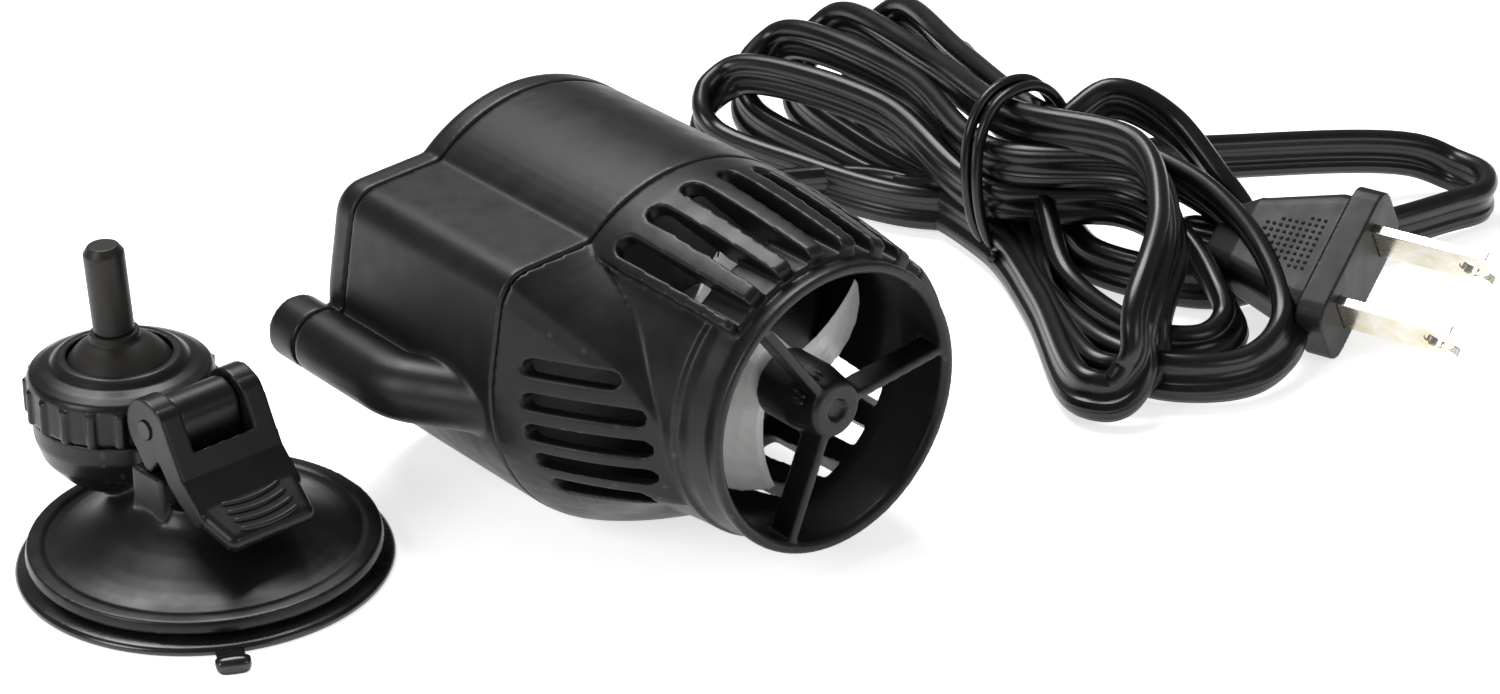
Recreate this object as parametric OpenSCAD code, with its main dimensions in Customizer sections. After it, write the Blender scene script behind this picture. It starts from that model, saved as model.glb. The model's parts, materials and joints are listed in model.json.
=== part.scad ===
// Wave maker pump: magnet-drive pump, detached suction bracket, power cord and plug.
// The flow leaves along -Y. The origin is on the impeller axis, in the plane of the outlet rim.

/* [Pump body] */
// Radius of the round motor body
body_r = 24; // [23.5:0.25:25]
// Length of the front cage, from the outlet rim to the front seam
cage_l = 30; // [29:0.5:31]
// Distance from the outlet rim to the rear seam
rear_seam_y = 63; // [62:0.5:66]
// Thickness of the rear cover behind its seam
cover_l = 5; // [4:0.5:7]
// Sideways shift of the coil lobe's lower arc
lobe_shift = 8.5; // [8:0.25:9]
// Radius of the lobe's upper corner
corner_r = 4.7; // [4.2:0.1:5.2]
// Height of that corner's centre above the impeller axis
corner_z = 12.2; // [11.8:0.1:12.6]
// Thickness of the moulded walls
wall = 2.2; // [1.8:0.1:2.4]
// Width of the open seam line between two mouldings
seam_gap = 0.15; // [0.05:0.05:0.3]

/* [Outlet and grille] */
// Inside radius of the outlet
outlet_r = 18.1; // [17.6:0.1:18.4]
// Outside radius of the outlet rim
rim_r = 19.8; // [19.6:0.1:20]
// Width of one intake slot
slot_w = 3; // [2.4:0.1:3.2]
// Angle between two intake slots on top
slot_pitch = 14.4; // [14.2:0.1:14.8]
// Number of intake slots on top
slot_count = 7; // [5:1:7]
// Number of intake slots underneath
low_slot_count = 4; // [3:1:4]
// Height of one slot in the lobe's cheek
cheek_slot_h = 2.2; // [1.8:0.1:2.4]
// Thickness of the three arms that hold the front bush
arm_t = 1.3; // [1:0.1:1.8]

/* [Motor] */
// Radius of the ceramic shaft
shaft_r = 1; // [0.9:0.05:1.1]
// Radial running clearance on the shaft
running_gap = 0.05; // [0.03:0.01:0.08]
// Radius of the rotor magnet
magnet_r = 6.8; // [6.5:0.1:6.9]
// Length of the rotor magnet
magnet_l = 20; // [18:0.5:20]
// Tip radius of the impeller blades
blade_r = 17; // [15:0.25:17.2]
// Twist of a blade from front to back
blade_twist = 53; // [40:1:60]
// Depth of the stator's lamination stack
stack_l = 14; // [12:0.5:14]

/* [Bracket socket] */
// Outside radius of the socket tube on the body's side
boss_r = 4.45; // [4.2:0.05:4.6]
// Radius of the socket's bore
boss_bore_r = 2.75; // [2.72:0.01:2.8]
// Depth of the bore from its mouth
boss_bore_l = 18; // [14:0.5:19]

/* [Suction bracket] */
// Radius of the suction cup's lip
cup_r = 24.6; // [24:0.1:25.5]
// Distance from the cup's axis to the ball's axis
ball_offset = 16.5; // [16:0.1:17]
// Radius of the swivel ball
ball_r = 8.2; // [8:0.05:8.3]
// Lean of the stalk from upright at rest
stalk_lean = 3; // [0:1:10]
// Radius of the stalk that fits the pump's socket
stalk_r = 2.7; // [2.6:0.01:2.7]
// Length of the stalk's plain stretch outside the ball
stalk_l = 12.5; // [11:0.5:16]
// Travel of the plunger between released and locked
plunger_travel = 1.6; // [1:0.1:1.6]
// Number of grip ribs on the clamp nut
rib_count = 20; // [14:1:24]

/* [Power cord] */
// Width of the flat two-core cord
cord_w = 6.4; // [5:0.1:6.6]
// Thickness of the cord
cord_t = 3.1; // [2.6:0.1:3.3]
// Spacing of the plug's two blades
blade_pitch = 12.7; // [12.7:0.1:12.8]

/* [Hidden] */
$fn = 96;
floor_z = -body_r;
body_l = rear_seam_y + cover_l;
shoulder_slope = 4.57;
corner_x = -26;
corner_c = [corner_x, corner_z];
lobe_c = [-lobe_shift, 0];
corner_way = corner_c - lobe_c;
flank_a = atan2(corner_way[1], corner_way[0]) + acos((body_r - corner_r) / norm(corner_way));
shoulder_a = 90 + shoulder_slope;
fit = 0.1;

function polar(r, a) = [r * cos(a), r * sin(a)];
function ease(x) = x <= 0 ? 0 : x >= 1 ? 1 : x * x * (3 - 2 * x);
function mix(a, b, t) = a + (b - a) * t;

// A flat drawing in X and Z, given depth from y0 to y1
module slab(y0, y1) {
    translate([0, y1, 0])
        rotate([90, 0, 0])
            linear_extrude(y1 - y0)
                children();
}

// A profile of [radius, y] points turned about the Y axis
module turned(points) {
    rotate([-90, 0, 0])
        rotate_extrude()
            polygon(points);
}

// A round bar along Y
module rod(r, y0, y1) {
    translate([0, y0, 0])
        rotate([-90, 0, 0])
            cylinder(r = r, h = y1 - y0);
}

// A tube along Y
module sleeve(r_out, r_in, y0, y1) {
    difference() {
        rod(r_out, y0, y1);
        rod(r_in, y0 - 1, y1 + 1);
    }
}

// A closed solid through rings of points, which all have the same count
module skin(rings) {
    n = len(rings[0]);
    m = len(rings);
    sides = [for (j = [0 : m - 2], i = [0 : n - 1])
        let (a = j * n + i, b = j * n + (i + 1) % n)
        each [[a, b, b + n], [a, b + n, a + n]]];
    first = [for (i = [n - 1 : -1 : 0]) i];
    last = [for (i = [0 : n - 1]) (m - 1) * n + i];
    polyhedron([for (ring = rings) each ring], concat(sides, [first], [last]));
}

// ---- Outline of the motor body, round on the right with the coil lobe on the left ----

// Where the lobe's shoulder meets the round body, for an outline drawn in by inset
function crease(inset) =
    let (start = corner_c + polar(corner_r - inset, shoulder_a),
        way = polar(1, shoulder_slope),
        b = start * way,
        c = start * start - pow(body_r - inset, 2))
    start + way * (-b - sqrt(b * b - c));
function crease_a(inset) = atan2(crease(inset)[1], crease(inset)[0]);

function arc(centre, r, a0, a1, count) =
    [for (i = [0 : count]) centre + polar(r, mix(a0, a1, i / count))];

function outline_points(inset) = concat(
    arc([0, 0], body_r - inset, -90, crease_a(inset), 60),
    arc(corner_c, corner_r - inset, shoulder_a, flank_a, 8),
    arc(lobe_c, body_r - inset, flank_a, 270, 27));

module outline(inset) {
    polygon(outline_points(inset));
}

// ---- Bracket socket on the body's left side ----

boss_x = -36.3;
boss_z = -2.8;
boss_bend = 33;
boss_bend_y = 48;
boss_mouth_y = body_l + 1;

module boss_web(y0, y1) {
    translate([boss_x, y0, boss_z - boss_r / 2])
        cube([5, y1 - y0, boss_r]);
}

module boss_bore() {
    translate([boss_x, 0, boss_z])
        rod(boss_bore_r, boss_mouth_y - boss_bore_l, boss_mouth_y + 1);
}

// One ring of the socket tube, turned by an angle and centred part way along its bent nose
function boss_ring(centre, turn) =
    [for (i = [0 : 31])
        let (q = polar(boss_r, -i * 360 / 32))
        [centre[0] + q[0] * cos(turn), centre[1] + q[0] * sin(turn), boss_z + q[1]]];

// The socket tube, which bends inwards at its front end and runs into the body's wall
module boss_body() {
    bend_r = 9;
    steps = 6;
    bend = [for (i = [0 : steps])
        let (t = i * boss_bend / steps)
        [[boss_x + bend_r * (1 - cos(t)), boss_bend_y - bend_r * sin(t)], t]];
    nose_l = 11;
    last = bend[steps];
    nose = [last[0] + nose_l * [sin(boss_bend), -cos(boss_bend)], boss_bend];
    skin([for (step = concat([[[boss_x, rear_seam_y - seam_gap], 0]], bend, [nose]))
        boss_ring(step[0], step[1])]);
}

// ---- Motor housing ----

spigot_l = 1.5;
housing_rim_l = 1.5;

// The round tongue that locates the cage, left out where the lobe widens the housing
module spigot() {
    intersection() {
        slab(cage_l - spigot_l, cage_l + 0.5)
            outline(wall + fit);
        rod(body_r - wall - 0.15, cage_l - spigot_l - 1, cage_l + 1);
    }
}

module motor_housing() {
    color([0.07, 0.07, 0.075])
        difference() {
            union() {
                slab(cage_l, rear_seam_y - seam_gap)
                    outline(0);
                spigot();
                boss_web(boss_bend_y, rear_seam_y - seam_gap);
                boss_body();
            }
            slab(cage_l - spigot_l - 1, cage_l + housing_rim_l + 0.1)
                outline(2 * wall - 0.4);
            slab(cage_l + housing_rim_l, rear_seam_y + 1)
                outline(wall);
            boss_bore();
        }
}

// ---- Rear cover ----

cover_round = 2.4;
gland_x = 9;
gland_z = -9;
gland_r = 4.4;

function cover_ring(y) =
    let (past = max(0, y - (body_l - cover_round)),
        inset = cover_round - sqrt(pow(cover_round, 2) - pow(past, 2)))
    [for (p = outline_points(inset)) [p[0], y, p[1]]];

module rear_cover() {
    round_steps = 5;
    round_y = [for (i = [0 : round_steps])
        body_l - cover_round + cover_round * sin(i * 88 / round_steps)];
    color([0.07, 0.07, 0.075])
        difference() {
            union() {
                skin([for (y = concat([rear_seam_y], round_y)) cover_ring(y)]);
                slab(rear_seam_y - 3, rear_seam_y + 1)
                    outline(wall + fit);
                boss_web(rear_seam_y, body_l - 1);
                translate([boss_x, 0, boss_z])
                    rod(boss_r, rear_seam_y, boss_mouth_y);
            }
            slab(rear_seam_y - 4, body_l - wall)
                outline(2 * wall);
            boss_bore();
            translate([gland_x, 0, gland_z])
                rod(gland_r, body_l - 4, body_l + 1);
        }
}

// ---- Front cage: intake grille, outlet and the arms that hold the front bush, in one moulding ----

collar_r = 20;
collar_l = 7.7;
tip_y = 8.2;
cheek_tip_r = 19.7;
grille_r = body_r - 0.04;
bar_front_y = 3;
cage_rear_y = cage_l - seam_gap;
groove_front_y = 1;
slot_front_y = 11.2;
slot_rear_y = 25.6;
first_slot_a = 128.5;
low_slot_rear_y = 28.2;
low_slot_pitch = 17.9;
first_low_slot_a = -25.5;
arms_a = [128, 8, 248];
hub_front_r = 3.85;
hub_rear_r = 4.7;
hub_rear_y = 10.6;
bush_r = 2.6;
bush_front_y = 6.2;

// Outside radius of the plain flare between the outlet collar and the body
function flare_r(y) =
    collar_r + 0.6 + (body_r - collar_r - 0.9) * pow((y - collar_l) / (cage_l - collar_l), 1.6);

// The cheek is the lobe's outline drawn in towards the collar as it runs forward.
// The crease and the ridge that bound its top face both swing down round the collar.
corner_a = 151.7;
crease_swing = 54.5;
ridge_swing = 37.3;
function cheek_crease_a(u) = crease_a(0) + crease_swing * (0.41 * u + 0.59 * pow(u, 4));
function cheek_ridge_a(u) = corner_a + ridge_swing * (0.4 * u + 0.6 * pow(u, 6));

// Radius of the lobe's outline at an angle round the impeller axis
function ray_circle(centre, r, a) =
    let (way = polar(1, a), b = centre * way)
    b + sqrt(max(0, b * b - centre * centre + r * r));
function ray_line(from, way, a) =
    (from[0] * way[1] - from[1] * way[0]) / (cos(a) * way[1] - sin(a) * way[0]);
function lobe_radius(a) =
    let (shoulder_end = corner_c + polar(corner_r, shoulder_a),
        flank_top = corner_c + polar(corner_r, flank_a),
        flank_foot = lobe_c + polar(body_r, flank_a),
        a_shoulder = atan2(shoulder_end[1], shoulder_end[0]),
        a_top = atan2(flank_top[1], flank_top[0]),
        a_foot = atan2(flank_foot[1], flank_foot[0]))
    a < a_shoulder ? ray_line(shoulder_end, polar(1, shoulder_slope), a)
    : a < a_top ? ray_circle(corner_c, corner_r, a)
    : a < a_foot ? ray_line(flank_top, flank_foot - flank_top, a)
    : a < 250 ? ray_circle(lobe_c, body_r, a)
    : -body_r / sin(a);

function cheek_radius(a, y, inset) =
    let (u = min(1, max(0, (cage_l - y) / (cage_l - tip_y))),
        u_low = min(1, u * (cage_l - tip_y) / (cage_l - tip_y - 8 * ease((a - 190) / 40))),
        e_ridge = 1 - u,
        e_low = pow(max(0, 1 - pow(u_low, 1.3)), 1 / 1.3),
        e = mix(e_ridge, e_low, ease((a - corner_a) / 45)))
    cheek_tip_r + (lobe_radius(a) - cheek_tip_r) * e - inset;

function cheek_ring(y, inset) =
    let (u = min(1, max(0, (cage_l - y) / (cage_l - tip_y))),
        a0 = crease_a(0),
        a_crease = cheek_crease_a(u),
        a_ridge = cheek_ridge_a(u),
        top = [for (i = [0 : 7]) [mix(a0, corner_a, i / 8), mix(a_crease, a_ridge, i / 8)]],
        side = [for (i = [0 : 28]) [mix(corner_a, 270, i / 28), mix(a_ridge, 270, i / 28)]])
    concat([[0, y, 0]], [for (p = concat(top, side))
        let (q = polar(cheek_radius(p[0], y, inset), p[1])) [q[0], y, q[1]]]);

module cheek(inset, y_front, y_rear) {
    steps = 14;
    skin([for (i = [0 : steps]) cheek_ring(mix(y_front, y_rear, i / steps), inset)]);
}

module bar_shell() {
    rotate([-90, 0, 0])
        rotate([0, 0, -first_slot_a - slot_pitch / 2])
            rotate_extrude(angle = first_slot_a + slot_pitch / 2 + 92)
                polygon([[19.4, bar_front_y], [21.2, bar_front_y], [21.9, bar_front_y + 0.9],
                    [22.6, 9], [23.3, 15], [23.8, 21], [grille_r, 26], [grille_r, cage_rear_y],
                    [22.5, cage_rear_y], [19.4, 12]]);
}

// A slot cut along Y, given depth along +X, with a round rear end and a square or round front end
module slot(y0, y1, w, depth, front_is_round) {
    r = w / 2;
    front = front_is_round ? arc([y0 + r, 0], r, 90, 270, 8) : [[y0, r], [y0, -r]];
    rotate([90, 0, 90])
        linear_extrude(depth)
            polygon(concat(front, arc([y1 - r, 0], r, -90, 90, 10)));
}

// A slot through the grille at an angle, with the groove that carries it on between the bars to their ends
module grille_slot(a, rear_y) {
    rotate([0, -a, 0]) {
        translate([14, 0, 0])
            slot(slot_front_y, rear_y, slot_w, 12, false);
        translate([collar_r + 0.05, groove_front_y, -slot_w / 2])
            cube([6, slot_front_y - groove_front_y + 0.3, slot_w]);
    }
}

module intake_slots() {
    for (i = [0 : slot_count - 1])
        grille_slot(first_slot_a - i * slot_pitch, slot_rear_y);
    for (i = [0 : low_slot_count - 1])
        grille_slot(first_low_slot_a - i * low_slot_pitch, low_slot_rear_y);
}

// Each row is [height, front end, rear end] of one slot in the cheek
cheek_slots = [[5.6, 15, 26.5], [1.2, 11.6, 26], [-3, 10.8, 25.5], [-7, 10.6, 24.6], [-10.8, 12, 23.6]];

module cheek_cuts() {
    for (row = cheek_slots)
        translate([-36, 0, row[0]])
            slot(row[1], row[2], cheek_slot_h, 18.5, true);
}

module front_cage() {
    flare_y = [for (i = [0 : 6]) mix(collar_l, cage_rear_y, i / 6)];
    color([0.07, 0.07, 0.075]) {
        difference() {
            union() {
                turned(concat([[0, 0], [rim_r - 0.2, 0], [rim_r, 0.3], [rim_r, 1.2], [rim_r - 0.4, 2.6],
                    [collar_r, 5.5], [collar_r, collar_l]],
                    [for (y = flare_y) [flare_r(y), y]], [[0, cage_rear_y]]));
                bar_shell();
                cheek(0, tip_y, cage_rear_y);
            }
            turned([[0, -1], [outlet_r + 0.6, -1], [outlet_r + 0.6, 0], [outlet_r, 0.7], [outlet_r, 8.5],
                [outlet_r + 0.7, 13], [grille_r - wall, 24], [grille_r - wall, cage_l + 1], [0, cage_l + 1]]);
            cheek(wall, tip_y + 4, cage_l + 1);
            intake_slots();
            cheek_cuts();
        }
        spider();
    }
}

module spider() {
    arm_l = outlet_r + 0.5 - 3;
    difference() {
        union() {
            for (a = arms_a)
                rotate([0, -a, 0])
                    translate([3, 0.4, -arm_t / 2])
                        cube([arm_l, 4.2, arm_t]);
            turned([[0, 0], [hub_front_r - 0.4, 0], [hub_front_r, 0.4], [hub_rear_r, 5],
                [hub_rear_r, hub_rear_y], [0, hub_rear_y]]);
        }
        rod(1.5, -1, 0.7);
        rod(bush_r, bush_front_y, hub_rear_y + 1);
    }
}

// ---- Motor: sealed stator, rotor well and rotor ----

well_in_r = 7.4;
well_out_r = 8.4;
well_rear_y = 57;
plate_front_y = 28;
plate_rear_y = 30.4;
magnet_y = 33;
stack_y = 36;
leg_x0 = -25;
leg_x1 = -18;
arm_z0 = 9.4;
arm_z1 = 14.1;
shaft_front_y = 6.6;
shaft_rear_y = 55.6;
bush_rear_y = 53.6;

module well_plate() {
    color([0.12, 0.12, 0.13])
        difference() {
            union() {
                slab(plate_front_y, plate_rear_y)
                    outline(2 * wall - 0.4 + fit);
                rod(well_out_r, plate_rear_y - 1, well_rear_y);
            }
            rod(well_in_r, plate_front_y - 1, bush_rear_y);
            rod(3.3, bush_rear_y - 1, well_rear_y - 1);
        }
}

module core_shape(grow) {
    difference() {
        union() {
            translate([leg_x0 - grow, -arm_z1 - grow])
                square([leg_x1 - leg_x0 + 2 * grow, 2 * arm_z1 + 2 * grow]);
            for (side = [-1, 1])
                scale([1, side, 1]) {
                    translate([leg_x0 - grow, arm_z0 - grow])
                        square([10 - leg_x0 + 2 * grow, arm_z1 - arm_z0 + 2 * grow]);
                    translate([-10 - grow, 4.5 - grow])
                        square([20 + 2 * grow, arm_z1 - 4.5 + 2 * grow]);
                }
        }
        circle(well_out_r + fit - grow);
    }
}

module stator_core() {
    color([0.45, 0.45, 0.47])
        slab(stack_y, stack_y + stack_l)
            core_shape(0);
}

// A box ring round the stator's leg
module leg_ring(outer, inner, z) {
    translate([leg_x0 - outer, stack_y - outer, -z])
        difference() {
            cube([leg_x1 - leg_x0 + 2 * outer, stack_l + 2 * outer, 2 * z]);
            translate([outer - inner, outer - inner, -1])
                cube([leg_x1 - leg_x0 + 2 * inner, stack_l + 2 * inner, 2 * z + 2]);
        }
}

module coil_bobbin() {
    color([0.85, 0.83, 0.78]) {
        leg_ring(1, fit, 9.2);
        for (z = [-8.6, 8.6])
            translate([0, 0, z])
                leg_ring(3, fit, 0.6);
    }
}

module coil_winding() {
    color([0.6, 0.3, 0.12])
        leg_ring(2.8, 1.05, 7.9);
}

fuse_y = 55.6;

module thermal_fuse() {
    color([0.75, 0.75, 0.72]) {
        translate([-21.5, fuse_y, -4.5])
            cylinder(r = 1.6, h = 9);
        translate([-21.5, fuse_y, -6.5])
            cylinder(r = 0.4, h = 13);
    }
}

module lead_wires() {
    lead_y = 58;
    color([0.1, 0.1, 0.1])
        for (z = [-11.5, -6.5]) {
            translate([-20, lead_y, z])
                rotate([0, 90, 0])
                    cylinder(r = 0.9, h = gland_x + 20);
            translate([gland_x, lead_y, z])
                sphere(0.9, $fn = 24);
            translate([gland_x, lead_y, z])
                rotate([-90, 0, 0])
                    cylinder(r = 0.9, h = 5);
        }
}

module epoxy_potting() {
    clear = 0.05;
    color([0.16, 0.15, 0.13])
        difference() {
            slab(cage_l + housing_rim_l + 0.4, 59)
                outline(wall + clear);
            rod(well_out_r + clear, 20, 70);
            slab(stack_y - clear, stack_y + stack_l + clear)
                core_shape(clear);
            translate([leg_x0 - 3.1, stack_y - 3.1, -9.35])
                cube([leg_x1 - leg_x0 + 6.2, stack_l + 6.2, 18.7]);
            translate([-23.3, 53, -6.6])
                cube([3.6, 4.4, 13.2]);
            translate([-21, 56.7, -12.6])
                cube([gland_x + 23, 3, 7.2]);
        }
}

module rear_bush() {
    color([0.15, 0.15, 0.15])
        difference() {
            rod(3.25, bush_rear_y + 0.1, well_rear_y - 1.1);
            rod(shaft_r + 0.02, bush_rear_y - 1, shaft_rear_y + 0.1);
        }
}

module front_bush() {
    color([0.15, 0.15, 0.15])
        difference() {
            rod(bush_r - 0.05, bush_front_y + 0.05, hub_rear_y - 0.1);
            rod(shaft_r + running_gap, shaft_front_y - 0.2, hub_rear_y + 1);
        }
}

module rotor_shaft() {
    color([0.9, 0.9, 0.88])
        rod(shaft_r, shaft_front_y, shaft_rear_y);
}

module rear_washer() {
    color([0.85, 0.85, 0.85])
        sleeve(2.6, shaft_r + running_gap, magnet_y + magnet_l + 0.25, bush_rear_y);
}

module front_washer() {
    color([0.85, 0.85, 0.85])
        sleeve(2.6, shaft_r + running_gap, hub_rear_y, hub_rear_y + 0.4);
}

module rotor_magnet() {
    color([0.2, 0.2, 0.21])
        sleeve(magnet_r, 2.5, magnet_y, magnet_y + magnet_l);
}

dog_r0 = 2.2;
dog_r1 = 4.6;

// A wedge of a ring, centred on an angle, that two parts use to push each other round
module dog(centre_a, half_a, y0, y1) {
    rotate([0, -centre_a, 0])
        rotate([-90, 0, 0])
            translate([0, 0, y0])
                rotate([0, 0, -half_a])
                    rotate_extrude(angle = 2 * half_a)
                        translate([dog_r0, 0])
                            square([dog_r1 - dog_r0, y1 - y0]);
}

module magnet_carrier() {
    color([0.92, 0.92, 0.9]) {
        sleeve(2.45, shaft_r + running_gap, magnet_y - 2, magnet_y + magnet_l + 0.2);
        sleeve(magnet_r, shaft_r + running_gap, magnet_y - 1.6, magnet_y - 0.05);
        dog(0, 25, magnet_y - 4.8, magnet_y - 1.5);
    }
}

blade_front_y = 13.2;
blade_depth = 6.6;
blade_root_r = 3.4;
blade_sweep = 1.6;
blade_bow = 18;
first_blade_a = -21;
blade_t = 1.3;

// Angle of the blade's middle surface at a radius, where t runs from its front edge to its rear edge
function blade_a(r, t) =
    first_blade_a + blade_twist * (0.5 - t) + blade_bow * pow(t - 0.5, 2) + blade_sweep * (r - blade_root_r);

function blade_ring(r) =
    let (half = atan(blade_t / 2 / r), steps = 5)
    concat(
        [for (i = [0 : steps]) let (t = i / steps, q = polar(r, blade_a(r, t) + half))
            [q[0], blade_front_y + blade_depth * t, q[1]]],
        [for (i = [steps : -1 : 0]) let (t = i / steps, q = polar(r, blade_a(r, t) - half))
            [q[0], blade_front_y + blade_depth * t, q[1]]]);

module impeller() {
    hub_y = 11.1;
    steps = 6;
    color([0.9, 0.9, 0.9]) {
        turned([[shaft_r + running_gap, hub_y], [3, hub_y], [4.2, hub_y + 1.5], [5.6, 21], [5.6, 30.8],
            [4.8, 30.8], [4.8, 27.2], [shaft_r + running_gap, 27.2]]);
        dog(180, 20, 27, 30.6);
        for (i = [0 : 2])
            rotate([0, 120 * i, 0])
                skin([for (j = [0 : steps]) blade_ring(mix(blade_root_r, blade_r, j / steps))]);
    }
}

module cord_gland() {
    color([0.06, 0.06, 0.06])
        translate([gland_x, 0, gland_z])
            difference() {
                turned([[0, body_l - 4.5], [gland_r + 1.4, body_l - 4.5], [gland_r + 1.4, body_l - 2.4],
                    [gland_r - 0.1, body_l - 2.4], [gland_r - 0.1, body_l + 0.2],
                    [gland_r + 0.6, body_l + 0.3], [gland_r + 0.4, body_l + 2],
                    [gland_r - 0.6, body_l + 7], [0, body_l + 7]]);
                translate([-cord_w / 2 - 0.1, body_l - 5, -cord_t / 2 - 0.1])
                    cube([cord_w + 0.2, 14, cord_t + 0.2]);
            }
}

// ---- Power cord: from the gland, through a tied figure-of-eight bundle, to the plug ----

plug_face = [101.4, 3.3, 10.7];
plug_turn = 17;
plug_roll = 34;
plug_body_l = 23;
waist = [84, 58];
lane = 3.7;

function unit(v) = v / norm(v);

// The way the cord leaves the plug, and where it enters
plug_way = [-sin(plug_turn), cos(plug_turn), 0];
plug_tail = plug_face + (plug_body_l + 0.4) * plug_way;

// The cord's middle line as [x, y, height above the floor]
lead_in = [[gland_x, 64, 15], [gland_x, 75.5, 15], [gland_x, 79, 15], [11, 92, 9], [27, 101, 4],
    [50, 99, 4], [71, 79, 4]];
loop_a = [[waist[0] - lane, waist[1], 4], [72, 35, 3], [60, 20, 3], [59, 7, 3], [70, 1, 3], [82, 8, 3],
    [waist[0] + lane, 32, 3.4]];
loop_b = [[waist[0] + lane, waist[1], 4], [90, 82, 5], [97, 98, 6.5], [88, 110, 8], [72, 108, 9],
    [69, 94, 10], [76, 76, 10]];
loop_c = [[waist[0] - lane, waist[1], 10], [75, 36, 9], [67, 22, 8.5], [68, 12, 8.5], [76, 9, 8.5],
    [84, 18, 8.5], [waist[0] + lane, 36, 9]];
loop_d = [[waist[0] + lane, waist[1], 10], [93, 80, 11], [101, 92, 13], [98, 102, 15], [86, 100, 16],
    [80, 82, 16]];
lead_out = [[waist[0], waist[1], 16], [93, 50, 15.5], [112, 50, 12], [132, 46, 6], [147, 36, 4], [149, 22, 4],
    [136, 16, 4], [119, 24, 4], [108, 35, 5.5], [99, 39, 8.5],
    plug_tail + 6 * plug_way - [0, 0, 0.4], plug_tail];
cord_stops = concat(lead_in, loop_a, loop_b, loop_c, loop_d, lead_out);

function catmull(a, b, c, d, t) =
    (2 * b + (c - a) * t + (2 * a - 5 * b + 4 * c - d) * t * t + (3 * b - a - 3 * c + d) * t * t * t) / 2;

function smooth_path(stops, steps) =
    let (n = len(stops))
    concat(
        [for (i = [0 : n - 2], j = [0 : steps - 1])
            catmull(stops[max(0, i - 1)], stops[i], stops[i + 1], stops[min(n - 1, i + 2)], j / steps)],
        [stops[n - 1]]);

// A ring of points round a path point, flat side level
function cord_ring(at, way, w, t) =
    let (side = unit(cross([0, 0, 1], way)),
        up = cross(way, side),
        section = [[-w / 2, -t / 4], [-w / 2 + t / 4, -t / 2], [w / 2 - t / 4, -t / 2], [w / 2, -t / 4],
            [w / 2, t / 4], [w / 2 - t / 4, t / 2], [-w / 2 + t / 4, t / 2], [-w / 2, t / 4]])
    [for (q = section) at + [0, 0, floor_z] + q[0] * side + q[1] * up];

module sweep(path, w, t) {
    n = len(path);
    skin([for (i = [0 : n - 1])
        cord_ring(path[i], unit(path[min(n - 1, i + 1)] - path[max(0, i - 1)]), w, t)]);
}

module power_cord() {
    color([0.03, 0.03, 0.03])
        sweep(smooth_path(cord_stops, 4), cord_w, cord_t);
}

module cord_tie() {
    half_w = 8.6;
    half_h = 9.6;
    tie_t = 1.4;
    color([0.03, 0.03, 0.03])
        translate([waist[0], waist[1] - 1, floor_z + half_h + 0.3])
            rotate([90, 0, 0])
                linear_extrude(tie_t)
                    difference() {
                        square([2 * half_w, 2 * half_h], center = true);
                        square([2 * (half_w - tie_t / 2), 2 * (half_h - tie_t / 2)], center = true);
                    }
}

module at_plug() {
    translate(plug_face + [0, 0, floor_z])
        rotate([0, 0, plug_turn])
            rotate([0, -plug_roll, 0])
                children();
}

// A rounded plate of the plug, width along X, seen along the cord
module plug_slice(w, h, y, depth) {
    r = h / 4;
    translate([0, y + depth, 0])
        rotate([90, 0, 0])
            linear_extrude(depth)
                polygon([for (corner = [[1, -1], [1, 1], [-1, 1], [-1, -1]], i = [0 : 4])
                    let (a = atan2(corner[1], corner[0]) - 45 + i * 22.5)
                    [corner[0] * (w / 2 - r), corner[1] * (h / 2 - r)] + polar(r, a)]);
}

module blade_slots(grow) {
    for (side = [-1, 1])
        translate([side * blade_pitch / 2 - 0.75 - grow, -1, -3.175 - grow])
            cube([1.5 + 2 * grow, 5 + grow, 6.35 + 2 * grow]);
}

module plug_body() {
    color([0.04, 0.04, 0.04])
        at_plug()
            difference() {
                union() {
                    plug_slice(24.4, 12, 0, 4.2);
                    hull() {
                        plug_slice(21, 11, 4, 2);
                        plug_slice(14, 9.4, 16, 1);
                    }
                    hull() {
                        plug_slice(14, 9.4, 16.9, 0.5);
                        plug_slice(8.4, 5.4, plug_body_l - 1.2, 1);
                    }
                }
                blade_slots(0.05);
            }
}

module plug_blades() {
    prong_l = 17.5;
    prong_w = 6.35;
    prong_t = 1.5;
    color([0.8, 0.76, 0.62])
        at_plug()
            for (side = [-1, 1])
                translate([side * blade_pitch / 2 - prong_t / 2, 0, 0])
                    difference() {
                        translate([0, -prong_l, -prong_w / 2])
                            cube([prong_t, prong_l + 3.9, prong_w]);
                        translate([-1, 3 - prong_l, 0])
                            rotate([0, 90, 0])
                                cylinder(r = 1.6, h = 4);
                        for (end = [-1, 1])
                            translate([-1, -prong_l, end * prong_w / 2])
                                rotate([45, 0, 0])
                                    cube([4, 2, 2]);
                    }
}

// ---- Suction bracket, standing beside the pump ----

bracket_at = [-60.7, 55, floor_z];
bracket_turn = 4;
pivot_z = 22;
ball_z = 19;
deck_z = pivot_z - 6.1;
ear_x = 6.35;
ear_t = 3.2;
ear_r = 4.1;
stem_r = 2.5;
pin_r = 1.2;

module at_bracket() {
    translate(bracket_at)
        rotate([0, 0, bracket_turn])
            children();
}

module at_ball() {
    at_bracket()
        translate([0, ball_offset, ball_z])
            children();
}

tab_a = 240.3;

module suction_cup() {
    color([0.04, 0.04, 0.045])
        at_bracket() {
            rotate_extrude()
                polygon([[0, 0.6], [20, 0.3], [22.5, 0], [cup_r, 0], [cup_r, 0.9], [23.6, 1.7],
                    [20, 2.1], [7, 3], [0, 3]]);
            rotate([0, 0, tab_a])
                translate([23, -2.1, 0])
                    cube([6.5, 4.2, 1.5]);
        }
}

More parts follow.
